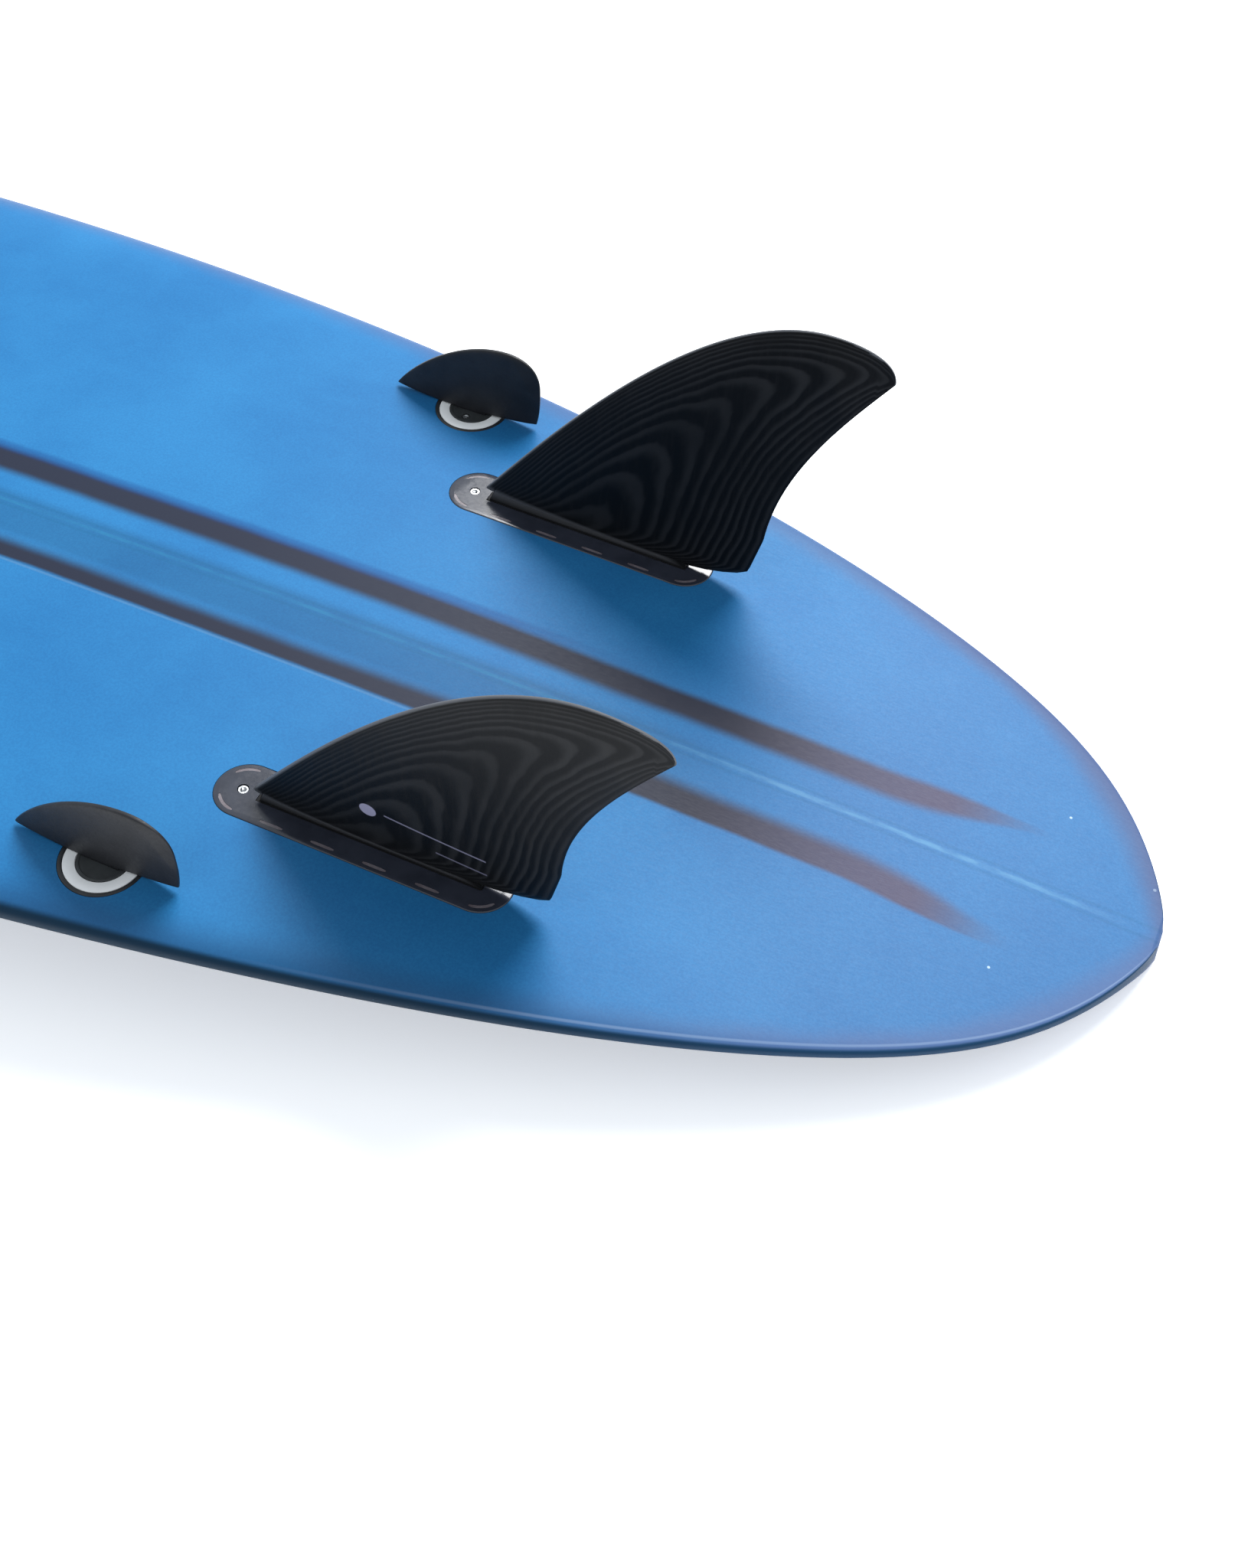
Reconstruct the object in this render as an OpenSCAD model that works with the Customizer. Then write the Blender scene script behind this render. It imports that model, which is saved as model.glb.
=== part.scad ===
// Round-pin surfboard, lying deck down with its fins up.
// X runs from the nose (-X) to the tail (+X), Y across the board and Z up.
// The origin is on the floor, under the middle of the board's length and width.
// Millimetres and degrees. Left is +Y and right is -Y, as a rider facing the nose names them.

/* [Outline] */
// Length of the board from nose to tail
board_l = 1803; // [1650:1:1950]
// Width of the board at its widest point
board_w = 470; // [440:1:510]
// Distance of the widest point from the tail
wide_from_tail = 940; // [900:5:1000]

/* [Thickness and rocker] */
// Thickness at the widest point
board_t = 60; // [56:0.5:66]
// Thickness at the tail
tail_t = 16; // [14:0.5:20]
// Thickness at the nose
nose_t = 12; // [11:0.5:16]
// Lift of the tail off the flat middle
tail_rocker = 67; // [50:1:75]
// Lift of the nose off the flat middle
nose_rocker = 115; // [95:1:130]
// Distance of the flattest point from the tail
flat_from_tail = 1120; // [1000:10:1150]
// Thickness of the glass and resin skins
skin_t = 0.8; // [0.6:0.1:1]
// Thickness of the wooden stringer
stringer_t = 4; // [3:0.5:5]

/* [Fin boxes] */
// Distance of the main fin boxes from the tail
box_from_tail = 310; // [290:1:340]
// Distance of the main fin boxes from the centreline
box_y = 104; // [95:1:110]
// Length of a fin box flange
box_l = 139; // [134:1:144]
// Width of a fin box flange
box_w = 28.6; // [26:0.2:32]
// Depth of a fin box
box_depth = 19; // [17:0.5:21]
// Toe-in of the main fins
box_toe = 0.5; // [0:0.1:3]
// Outward lean of the main fins
box_cant = 4; // [0:0.5:6]

/* [Side plugs] */
// Distance of the side plugs from the tail
plug_from_tail = 397.5; // [390:0.5:410]
// Distance of the side plugs from the centreline
plug_y = 160.3; // [155:0.1:163]
// Diameter of a side plug's rim
plug_d = 37.8; // [36:0.1:40]
// Diameter of a side plug's core
core_d = 23.2; // [22:0.1:25]
// Depth of a side plug
plug_depth = 17; // [15:0.5:18]

/* [Fins] */
// Height of a main fin above the board
fin_h = 143; // [125:1:150]
// Thickness of a main fin at its base
fin_t = 7.4; // [6.5:0.1:8]
// Height of a side fin above the board
side_fin_h = 40.6; // [36:0.2:46]
// Thickness of a side fin
side_fin_t = 5; // [4:0.1:6]

/* [Leash plug] */
// Distance of the leash plug from the tail
leash_from_tail = 92; // [85:1:110]
// Distance of the leash plug from the centreline
leash_y = 22; // [20:1:30]
// Inside diameter of the leash cup
leash_d = 24; // [22:1:26]
// Diameter of the leash bar
bar_d = 4; // [3:0.5:5]

/* [Hidden] */
$fn = 64;

left = 1;
right = -1;
half_w = board_w / 2;
wide_from_nose = board_l - wide_from_tail;
flat_from_nose = board_l - flat_from_tail;
tip_half_w = 6;          // half the width of the blunt tips
fit_gap = 0.1;           // gap between a glassed-in plug and the foam
slide_gap = 0.2;         // gap on each side of a sliding fin tab
spin_gap = 0.05;         // gap around a screw
under_gap = 0.4;         // gap between a side fin's base and the board
box_screw_r = 2.5;
box_screw_l = 8;
side_screw_r = 2;
side_screw_l = 7;
flange_t = 3;
flange_lip = 5;          // how far a box flange stands out past the box
tab_front = -49;         // ends of a main fin's tab, along the box
tab_back = 57;
tab_depth = 13;
tab_t = 6;
neck_t = 4.6;
box_screw_x = -57;
core_tab_l = 17;
core_tab_depth = 10;
core_tab_t = 4;
side_screw_y = 7.1;
ring_t = 2.5;
rim_t = 2;
housing_lip = 1;         // how far a plug's top flange stands out past its barrel
housing_floor = 1.5;     // thickness of a plug's floor
leash_wall = 2;
leash_lip = 2;
leash_depth = 15;
bar_depth = 5;
stations = 44;
ribs = 22;

// Shares of the half width at which the section has points, from the middle to the rail
bottom_u = [0.5, 0.8, 0.92, 0.98];
deck_u = [0.985, 0.92, 0.78, 0.55, 0.3];

// ---- the board's shape, by distance s from the tail ----

function along(s) = board_l / 2 - s;
function eased(t) = let (c = min(1, max(0, t))) c * c * (3 - 2 * c);
function closeness(s) = s < wide_from_tail ? s / wide_from_tail : (board_l - s) / wide_from_nose;

// Half width: a full tail half with a round pin, and a fuller-pointed nose half
function tail_curve(s, t) = pow(1 - pow(1 - t, 1.95), 0.458) * (1 - 0.39 * exp(-s / 16.6));
function nose_curve(t) = pow(1 - pow(1 - t, 1.9), 0.83);
function half_width(s) =
    let (t = closeness(s), c = s < wide_from_tail ? tail_curve(s, t) : nose_curve(t))
    max(tip_half_w, half_w * c);

// Thickness, from thin tips to the full middle
function thickness(s) =
    let (t = closeness(s), round_off = 1 - pow(1 - t, 2))
    s < wide_from_tail ? tail_t + (board_t - tail_t) * pow(round_off, 0.9)
                       : nose_t + (board_t - nose_t) * pow(round_off, 1.3);

// How far the bottom drops away from its flattest point, towards each tip
function rocker_drop(s) =
    s < flat_from_tail ? tail_rocker * pow((flat_from_tail - s) / flat_from_tail, 2.31)
                       : nose_rocker * pow((s - flat_from_tail) / flat_from_nose, 2.2);

// The board leans so that both tips lie on the floor
lean = (nose_rocker + nose_t - tail_rocker - tail_t) / board_l;
function raw_bottom(s) = lean * s - rocker_drop(s);
function station(i) = board_l * (1 - cos(180 * i / stations)) / 2;
floor_z = min([for (i = [0 : stations]) raw_bottom(station(i)) - thickness(station(i))]);
function bottom_z(s) = raw_bottom(s) - floor_z;
function bottom_pitch(s) = atan((bottom_z(s + 1) - bottom_z(s - 1)) / 2);
function deck_z(s) = bottom_z(s) - thickness(s);
function deck_pitch(s) = atan((deck_z(s + 1) - deck_z(s - 1)) / 2);

// The rail: its widest line sits this far under the bottom, and its edge is hard at the tail
function rail_drop(s) = thickness(s) * (0.08 + 0.18 * eased(s / 1000));
function edge_power(s) = 60 * pow(7 / 60, eased(s / 1000));

// Height of the surface at share u of the half width, moved inwards by d
function under_z(s, u, d) =
    bottom_z(s) - d - (rail_drop(s) - d) * (1 - sqrt(1 - pow(u, edge_power(s))));
function over_z(s, u, d) =
    deck_z(s) + d + (thickness(s) - rail_drop(s) - d) * (1 - pow(1 - pow(u, 2.4), 1 / 1.9));

// One point of a section. Station i moves in from the tips by d, so the skins close round them.
function station_in(i, d) = i == 0 ? d : i == stations ? board_l - d : station(i);
function at(i, d, y, z) = [along(station_in(i, d)), y, z];
function rail_y(i, d, u) = u * (half_width(station_in(i, d)) - d);
function bottom_point(i, d, side, u) =
    at(i, d, side * rail_y(i, d, u), under_z(station_in(i, d), u, d));
function deck_point(i, d, side, u) =
    at(i, d, side * rail_y(i, d, u), over_z(station_in(i, d), u, d));
function bottom_middle(i, d, side) =
    at(i, d, side * stringer_t / 2, under_z(station_in(i, d), 0, d));
function deck_middle(i, d, side) =
    at(i, d, side * stringer_t / 2, over_z(station_in(i, d), 0, d));

function backwards(list) = [for (k = [len(list) - 1 : -1 : 0]) list[k]];

// Middle to rail, along the bottom or the deck
function bottom_run(i, d, side) =
    concat([bottom_middle(i, d, side)], [for (u = bottom_u) bottom_point(i, d, side, u)],
           [bottom_point(i, d, side, 1)]);
function deck_run(i, d, side) =
    concat([deck_middle(i, d, side)], [for (u = backwards(deck_u)) deck_point(i, d, side, u)],
           [bottom_point(i, d, side, 1)]);

// ---- solids lofted through rings of points ----

// Triangles between rings of points. Each quad is split from its end nearer the centreline on one
// ring to its end nearer the rail on the next, so that two solids that touch share their triangles.
function wall_faces(rings) =
    let (n = len(rings[0]))
    [for (i = [0 : len(rings) - 2], j = [0 : n - 1], second = [false, true])
        let (k = (j + 1) % n, a = i * n + j, b = i * n + k,
             outwards = abs(rings[i][j][1]) <= abs(rings[i][k][1]))
        outwards ? (second ? [a, b + n, a + n] : [a, b, b + n])
                 : (second ? [b, b + n, a + n] : [a, b, a + n])];

module loft(ring_list) {
    n = len(ring_list[0]);
    last = (len(ring_list) - 1) * n;
    caps = [[for (j = [n - 1 : -1 : 0]) j], [for (j = [0 : n - 1]) last + j]];
    polyhedron([for (r = ring_list) each r], concat(wall_faces(ring_list), caps));
}

// A skin's ring is an outer run followed by an inner run; its ends are closed by thin end walls
module skin(ring_list) {
    n = len(ring_list[0]);
    m = n / 2;
    last = (len(ring_list) - 1) * n;
    first_end = [[for (j = [m - 1 : -1 : 0]) j], [for (j = [n - 1 : -1 : m]) j],
                 [n - 1, m, m - 1, 0]];
    last_end = [[for (j = [0 : m - 1]) last + j], [for (j = [m : n - 1]) last + j],
                [last, last + m - 1, last + m, last + n - 1]];
    polyhedron([for (r = ring_list) each r],
               concat(wall_faces(ring_list), first_end, last_end));
}

// The left half of a foam section, as a closed ring
function foam_ring(i) =
    let (low = deck_run(i, skin_t, left), high = bottom_run(i, skin_t, left))
    concat(high, [for (k = [len(low) - 2 : -1 : 0]) low[k]]);

function stringer_ring(i) =
    [bottom_middle(i, skin_t, right), bottom_middle(i, skin_t, left),
     deck_middle(i, skin_t, left), deck_middle(i, skin_t, right)];

// Rail to rail across the bottom or the deck
function across(run_right, run_left) = concat(backwards(run_right), run_left);
function bottom_skin_ring(i) =
    concat(across(bottom_run(i, 0, right), bottom_run(i, 0, left)),
           across(bottom_run(i, skin_t, left), bottom_run(i, skin_t, right)));
function deck_skin_ring(i) =
    concat(across(deck_run(i, 0, left), deck_run(i, 0, right)),
           across(deck_run(i, skin_t, right), deck_run(i, skin_t, left)));

// ---- places on the board ----

// Children stand on the bottom skin at distance s from the tail, with +Z out of the board
module on_bottom(s, y) {
    translate([along(s), y, bottom_z(s)]) rotate([0, bottom_pitch(s), 0]) children();
}

module at_box(side) {
    on_bottom(box_from_tail, side * box_y) rotate([0, 0, -side * box_toe]) children();
}

module at_plug(side) {
    on_bottom(plug_from_tail, side * plug_y) children();
}

// Children sink into the deck, with +Z into the board
module at_leash() {
    translate([along(leash_from_tail), -leash_y, over_z(leash_from_tail, 0.2, 0)])
        rotate([0, deck_pitch(leash_from_tail), 0]) children();
}

// ---- shared outlines ----

module stadium(length, width, height) {
    reach = (length - width) / 2;
    linear_extrude(height) {
        square([2 * reach, width], center = true);
        for (end = [-reach, reach]) translate([end, 0]) circle(d = width);
    }
}

// The space a fin box, a side plug or the leash cup takes, grown by gap
module box_envelope(gap, above) {
    translate([0, 0, -flange_t - gap])
        stadium(box_l + 2 * gap, box_w + 2 * gap, flange_t + gap + above);
    translate([0, 0, -box_depth - gap])
        stadium(box_l - 2 * flange_lip + 2 * gap, box_w - 2 * flange_lip + 2 * gap, box_depth);
}

module plug_envelope(gap, above) {
    translate([0, 0, -flange_t - gap]) cylinder(r = plug_d / 2 + gap, h = flange_t + gap + above);
    translate([0, 0, -plug_depth - gap])
        cylinder(r = plug_d / 2 - rim_t - housing_lip + gap, h = plug_depth);
}

module leash_envelope(gap, above) {
    cup_r = leash_d / 2 + leash_wall + gap;
    translate([0, 0, -above]) cylinder(r = cup_r + leash_lip, h = leash_lip + gap + above);
    cylinder(r = cup_r, h = leash_depth + gap);
}

module bottom_pockets(side) {
    at_box(side) box_envelope(fit_gap, 3);
    at_plug(side) plug_envelope(fit_gap, 3);
}

// ---- fin outlines: cubic curves from round control points ----

function curve_point(c, t) =
    pow(1 - t, 3) * c[0] + 3 * t * pow(1 - t, 2) * c[1] + 3 * t * t * (1 - t) * c[2]
    + pow(t, 3) * c[3];

// Leading edge, round tip and swept-back trailing edge of a main fin, for a height of 143.
// Its heel overhangs the box behind, and its lower edge rises forwards.
main_front = [[-50.4, 5.4], [-12, 56], [52, 141.5], [106, 143]];
main_tip = [[106, 143], [124, 143.4], [136, 139], [136.5, 130]];
main_rear = [[92, 30], [94.4, 70], [118.4, 104], [136.5, 130]];
main_heel = [[60, 1.5], [70, 2.5], [85, 6.5], [87.2, 10]];

// Half-moon side fin, for a height of 40.6. Its lower edge lifts a little towards both ends.
side_toe = [[-20, 0], [-30, 0.2], [-38, 0.8], [-43, 2]];
side_front = [[-43, 2], [-31, 19], [-3, 40.6], [21.2, 40.6]];
side_tip = [[21.2, 40.6], [32.2, 40.6], [39.2, 35], [39.2, 24]];
side_heel = [[12, 0], [20, 0.2], [30, 0.8], [37, 2.6]];
side_rear = [[37, 2.6], [38.4, 8], [39.2, 14], [39.2, 24]];

// Points of the front edge and of the rear edge for rib u, from the base (0) to the tip (1)
function main_front_point(u) =
    u < 0.75 ? curve_point(main_front, u / 0.75) : curve_point(main_tip, (u - 0.75) / 0.25 * 0.96);
function main_rear_point(u) =
    u < 0.06 ? curve_point(main_heel, u / 0.06)
  : u < 0.18 ? let (t = (u - 0.06) / 0.12) main_heel[3] * (1 - t) + main_rear[0] * t
  : curve_point(main_rear, (u - 0.18) / 0.82);
function side_front_point(u) =
    u < 0.1 ? curve_point(side_toe, u / 0.1)
  : u < 0.6 ? curve_point(side_front, (u - 0.1) / 0.5)
  : curve_point(side_tip, (u - 0.6) / 0.4 * 0.95);
function side_rear_point(u) =
    u < 0.1 ? curve_point(side_heel, u / 0.1) : curve_point(side_rear, (u - 0.1) / 0.9);

// Foil: half thickness at share c of the chord, thickest a third of the way back, and
// fuller towards the ends of the chord as power falls
function foil(c, power) = pow(sin(180 * pow(c, 0.7)), power);
chord_shares = [0.04, 0.14, 0.3, 0.5, 0.72, 0.9];
edge_half = 0.35;

// A rib's ring of points, front edge to rear edge on the outer face and back on the inner face
function rib(front, rear, half_t, power) =
    let (pt = function (c, side)
            let (p = front + (rear - front) * c)
            [p[0], side * (edge_half + (half_t - edge_half) * foil(c, power)), p[1]],
         shares = concat([0], chord_shares, [1]))
    concat([for (c = shares) pt(c, 1)], [for (c = backwards(shares)) pt(c, -1)]);

function raised(p, k) = [p[0], p[1] * k];

module main_blade() {
    k = fin_h / 143;
    loft([for (i = [0 : ribs])
        let (u = i / ribs)
        rib(raised(main_front_point(u), k), raised(main_rear_point(u), k),
            fin_t / 2 * (1 - 0.62 * u), 0.4 + 0.4 * u)]);
}

module side_blade() {
    k = side_fin_h / 40.6;
    loft([for (i = [0 : ribs])
        let (u = i / ribs)
        rib(raised(side_front_point(u), k), raised(side_rear_point(u), k),
            side_fin_t / 2 * (1 - 0.35 * u), 0.5)]);
}

// ---- sub-parts ----

module foam_blank(side) {
    color([0.93, 0.93, 0.88]) difference() {
        mirror([0, side == right ? 1 : 0, 0]) loft([for (i = [0 : stations]) foam_ring(i)]);
        bottom_pockets(side);
        if (side == right) at_leash() leash_envelope(fit_gap, 3);
    }
}

module foam_blank_left() { foam_blank(left); }
module foam_blank_right() { foam_blank(right); }

module stringer() {
    color([0.62, 0.82, 0.84]) loft([for (i = [0 : stations]) stringer_ring(i)]);
}

module bottom_laminate() {
    color([0.30, 0.58, 0.80]) difference() {
        skin([for (i = [0 : stations]) bottom_skin_ring(i)]);
        bottom_pockets(left);
        bottom_pockets(right);
    }
}

module deck_laminate() {
    color([0.22, 0.36, 0.56]) difference() {
        skin([for (i = [0 : stations]) deck_skin_ring(i)]);
        at_leash() leash_envelope(fit_gap, 3);
    }
}

module fin_box(side) {
    color([0.10, 0.11, 0.12]) at_box(side) difference() {
        box_envelope(0, 0);
        // Slot for the fin's tab
        rotate([-side * box_cant, 0, 0])
            translate([tab_front - slide_gap, -tab_t / 2 - slide_gap, -tab_depth - 0.5])
                cube([tab_back - tab_front + 2 * slide_gap, tab_t + 2 * slide_gap, 2 * tab_depth]);
        // Blind bore for the grub screw
        translate([box_screw_x, 0, -box_screw_l - 1])
            cylinder(r = box_screw_r + spin_gap, h = 2 * box_screw_l);
    }
}

module fin_box_left() { fin_box(left); }
module fin_box_right() { fin_box(right); }

module grub_screw(radius, length, key) {
    color([0.75, 0.76, 0.78]) difference() {
        cylinder(r = radius, h = length);
        translate([0, 0, length - key]) cylinder(r = key / sqrt(3), h = key + 1, $fn = 6);
    }
}

module box_screw(side) {
    at_box(side) translate([box_screw_x, 0, -box_screw_l - 0.5]) grub_screw(box_screw_r, box_screw_l, 2.5);
}

module box_screw_left() { box_screw(left); }
module box_screw_right() { box_screw(right); }

module main_fin(side) {
    color([0.06, 0.06, 0.07]) at_box(side) rotate([-side * box_cant, 0, 0]) {
        main_blade();
        translate([tab_front, -tab_t / 2, -tab_depth]) cube([tab_back - tab_front, tab_t, tab_depth]);
        // Neck between the tab and the blade's lower edge
        rotate([90, 0, 0]) translate([0, 0, -neck_t / 2]) linear_extrude(neck_t)
            polygon([[tab_front + 1, -1], [tab_back, -1], [tab_back, 3], [tab_front + 4, 7]]);
    }
}

module main_fin_left() { main_fin(left); }
module main_fin_right() { main_fin(right); }

module side_plug_housing(side) {
    color([0.05, 0.05, 0.06]) at_plug(side) difference() {
        plug_envelope(0, 0);
        translate([0, 0, -ring_t]) cylinder(r = plug_d / 2 - rim_t, h = ring_t + 1);
        translate([0, 0, -plug_depth + housing_floor]) cylinder(d = core_d, h = plug_depth);
    }
}

module side_plug_housing_left() { side_plug_housing(left); }
module side_plug_housing_right() { side_plug_housing(right); }

module side_plug_ring(side) {
    color([0.93, 0.93, 0.91]) at_plug(side) translate([0, 0, -ring_t]) difference() {
        cylinder(r = plug_d / 2 - rim_t - fit_gap / 2, h = ring_t);
        translate([0, 0, -1]) cylinder(r = core_d / 2 + fit_gap / 2, h = ring_t + 2);
    }
}

module side_plug_ring_left() { side_plug_ring(left); }
module side_plug_ring_right() { side_plug_ring(right); }

module side_plug_core(side) {
    slot_l = core_tab_l + 2 * slide_gap;
    slot_t = core_tab_t + 2 * slide_gap;
    color([0.20, 0.21, 0.22]) at_plug(side) difference() {
        translate([0, 0, -plug_depth + housing_floor])
            cylinder(r = core_d / 2 - fit_gap / 2, h = plug_depth - housing_floor);
        translate([-slot_l / 2, -slot_t / 2, -core_tab_depth - 0.5])
            cube([slot_l, slot_t, 2 * core_tab_depth]);
        translate([0, -side * side_screw_y, -side_screw_l - 1])
            cylinder(r = side_screw_r + spin_gap, h = 2 * side_screw_l);
    }
}

module side_plug_core_left() { side_plug_core(left); }
module side_plug_core_right() { side_plug_core(right); }

module side_screw(side) {
    at_plug(side) translate([0, -side * side_screw_y, -side_screw_l - 0.5])
        grub_screw(side_screw_r, side_screw_l, 2);
}

module side_screw_left() { side_screw(left); }
module side_screw_right() { side_screw(right); }

module side_fin(side) {
    color([0.07, 0.07, 0.08]) at_plug(side) {
        translate([0, 0, under_gap]) side_blade();
        translate([-core_tab_l / 2, -core_tab_t / 2, -core_tab_depth])
            cube([core_tab_l, core_tab_t, core_tab_depth + 2]);
    }
}

module side_fin_left() { side_fin(left); }
module side_fin_right() { side_fin(right); }

module leash_cup() {
    color([0.12, 0.12, 0.13]) at_leash() difference() {
        leash_envelope(0, 0);
        translate([0, 0, -1]) cylinder(d = leash_d, h = leash_depth - leash_wall + 1);
        bar_place() cylinder(d = bar_d, h = leash_d + 2);
    }
}

module bar_place() {
    translate([0, -leash_d / 2 - 1, bar_depth]) rotate([-90, 0, 0]) children();
}

module leash_bar() {
    color([0.78, 0.79, 0.80]) at_leash() bar_place() cylinder(d = bar_d, h = leash_d + 2);
}

foam_blank_left();
foam_blank_right();
stringer();
bottom_laminate();
deck_laminate();
fin_box_left();
fin_box_right();
box_screw_left();
box_screw_right();
main_fin_left();
main_fin_right();
side_plug_housing_left();
side_plug_housing_right();
side_plug_ring_left();
side_plug_ring_right();
side_plug_core_left();
side_plug_core_right();
side_screw_left();
side_screw_right();
side_fin_left();
side_fin_right();
leash_cup();
leash_bar();
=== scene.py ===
import math

import bmesh
import bpy
from mathutils import Matrix, Vector


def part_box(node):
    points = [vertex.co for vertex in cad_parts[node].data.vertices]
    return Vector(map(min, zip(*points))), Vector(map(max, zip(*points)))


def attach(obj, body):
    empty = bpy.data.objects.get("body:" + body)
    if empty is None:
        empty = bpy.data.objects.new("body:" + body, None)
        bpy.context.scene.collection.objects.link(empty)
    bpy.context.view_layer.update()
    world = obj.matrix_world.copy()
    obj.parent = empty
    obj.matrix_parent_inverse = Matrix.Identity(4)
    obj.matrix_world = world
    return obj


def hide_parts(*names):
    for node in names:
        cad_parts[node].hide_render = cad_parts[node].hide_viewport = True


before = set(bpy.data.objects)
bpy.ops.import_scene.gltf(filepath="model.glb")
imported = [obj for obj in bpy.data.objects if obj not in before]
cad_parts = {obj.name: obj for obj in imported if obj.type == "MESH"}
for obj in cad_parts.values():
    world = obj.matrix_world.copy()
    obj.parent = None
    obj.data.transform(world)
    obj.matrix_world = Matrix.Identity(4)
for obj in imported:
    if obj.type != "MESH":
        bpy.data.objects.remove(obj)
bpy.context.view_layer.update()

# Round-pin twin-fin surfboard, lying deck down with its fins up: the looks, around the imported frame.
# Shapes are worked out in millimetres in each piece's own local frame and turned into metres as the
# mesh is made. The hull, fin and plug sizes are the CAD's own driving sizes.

MM = 0.001
SIDES = {"left": 1, "right": -1}

# ---------------------------------------------------------------- driving sizes, in millimetres

skin_low, skin_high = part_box("bottom_laminate")
board_l = (skin_high[0] - skin_low[0]) / MM
half_w = skin_high[1] / MM
wide_from_tail = 940     # where the board is widest and thickest
tail_t = 16
board_t = 60
nose_t = 12
tail_rocker = 67
nose_rocker = 115
flat_from_tail = 1120
tip_half_w = 6
pin_reach = 16.6         # how far up the board the tail's point is rounded off
rail_run = 1000          # the rail goes from thin and hard to round over this length
skin_t = 0.8
tip_round = 2            # radius that rounds the skins over the tips

box_from_tail = 310
box_y = 104
box_l = 139
box_w = 28.6
box_depth = 19
box_toe = 0.5
box_cant = 4
flange_t = 3
flange_lip = 5
resin_inset = 2.9        # a resin slot's centre line, in from the flange's edge
resin_count = 12
resin_length = 11
resin_half = 0.75
resin_depth = 0.5
tab_front = -49
tab_back = 57
tab_depth = 13
tab_t = 6
neck_t = 4.6
slide_gap = 0.2
fit_gap = 0.1
box_screw_x = -57
box_screw_r = 2.5
box_screw_l = 8
box_key = 2.5            # across the flats of the hex socket
screw_sink = 0.5         # how far a screw's top lies under the surface

plug_from_tail = 397.5
plug_y = 160.3
plug_r = 18.9
core_r = 11.6
rim_t = 2
housing_lip = 1
housing_floor = 1.5
plug_depth = 17
ring_t = 2.5
core_tab_l = 17
core_tab_t = 4
core_tab_depth = 10
side_screw_y = 7.1
side_screw_r = 2
side_screw_l = 7
side_key = 2
under_gap = 0.4

fin_t = 7.4
fin_thinning = 0.62      # share of the base's thickness that is gone at the tip
side_fin_t = 5
side_fin_thinning = 0.35
edge_half = 0.35
slim_span = 14           # the blade thins where it is shorter than this
layer_count = 13         # glass layers that show between the edge and the thickest line

leash_from_tail = 92
leash_y = 22
leash_r = 12
leash_wall = 2
leash_lip = 2
leash_depth = 15
leash_share = 0.2        # where the cup's mouth meets the deck's curve, from the middle to the rail
bar_r = 2
bar_depth = 5

# ---------------------------------------------------------------- the hull, by distance s from the tail


def eased(t):
    """Goes from 0 to 1 with level ends."""
    c = min(1, max(0, t))
    return c * c * (3 - 2 * c)


def half_width(s):
    """Rounded pin tail and pointed nose, either side of the widest place."""
    if s < wide_from_tail:
        t = s / wide_from_tail
        share = (1 - (1 - t) ** 1.95) ** 0.458 * (1 - 0.39 * math.exp(-s / pin_reach))
    else:
        t = (board_l - s) / (board_l - wide_from_tail)
        share = (1 - (1 - t) ** 1.9) ** 0.83
    return max(tip_half_w, half_w * share)


def thickness(s):
    if s < wide_from_tail:
        round_off = 1 - (1 - s / wide_from_tail) ** 2
        return tail_t + (board_t - tail_t) * round_off ** 0.9
    round_off = 1 - (1 - (board_l - s) / (board_l - wide_from_tail)) ** 2
    return nose_t + (board_t - nose_t) * round_off ** 1.3


def bottom_z(s):
    """The board leans so that both tips lie on the floor, tail_t and nose_t below the bottom."""
    lean = (nose_rocker + nose_t - tail_rocker - tail_t) / board_l
    if s < flat_from_tail:
        drop = tail_rocker * ((flat_from_tail - s) / flat_from_tail) ** 2.31
    else:
        drop = nose_rocker * ((s - flat_from_tail) / (board_l - flat_from_tail)) ** 2.2
    return lean * s - drop + tail_rocker + tail_t


def deck_z(s):
    return bottom_z(s) - thickness(s)


def pitch(height, s):
    """The angle at which a surface leans along the board."""
    return math.atan((height(s + 1) - height(s - 1)) / 2)


def rail_drop(s):
    """How far the widest line lies below the bottom."""
    return thickness(s) * (0.08 + 0.18 * eased(s / rail_run))


def edge_power(s):
    """Power of the rail's curve: high for the tail's hard edge, low for the round rail."""
    hard, round_rail = 60, 7
    return hard * (round_rail / hard) ** eased(s / rail_run)


def tip_inset(s):
    """How far the outer surface draws in near a tip, so that the tip is rounded over."""
    near = min(s, board_l - s)
    return tip_round - math.sqrt(tip_round ** 2 - (tip_round - near) ** 2) if near < tip_round else 0


def bottom_point(s, v, d):
    """Point at share v (-1 to 1) across the bottom: flat in the middle, round over the hard edge."""
    flat_share, first_angle = 0.55, 0.12
    power = edge_power(s)
    turn = abs(v)
    edge_start = math.sin(first_angle) ** (2 / power)
    if turn < flat_share:
        u = edge_start * turn / flat_share
        fall = 1 - math.sqrt(1 - u ** power)
    else:
        angle = first_angle + (math.pi / 2 - first_angle) * (turn - flat_share) / (1 - flat_share)
        u = math.sin(angle) ** (2 / power)
        fall = 1 - math.cos(angle)
    y = math.copysign(u * (half_width(s) - d), v)
    sink = min(d, 0.98 * rail_drop(s))
    return (board_l / 2 - s, y, bottom_z(s) - sink - (rail_drop(s) - sink) * fall)


dome_power, rim_power = 1.9, 2.4    # the deck's cross-section is a superellipse with these powers


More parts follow.
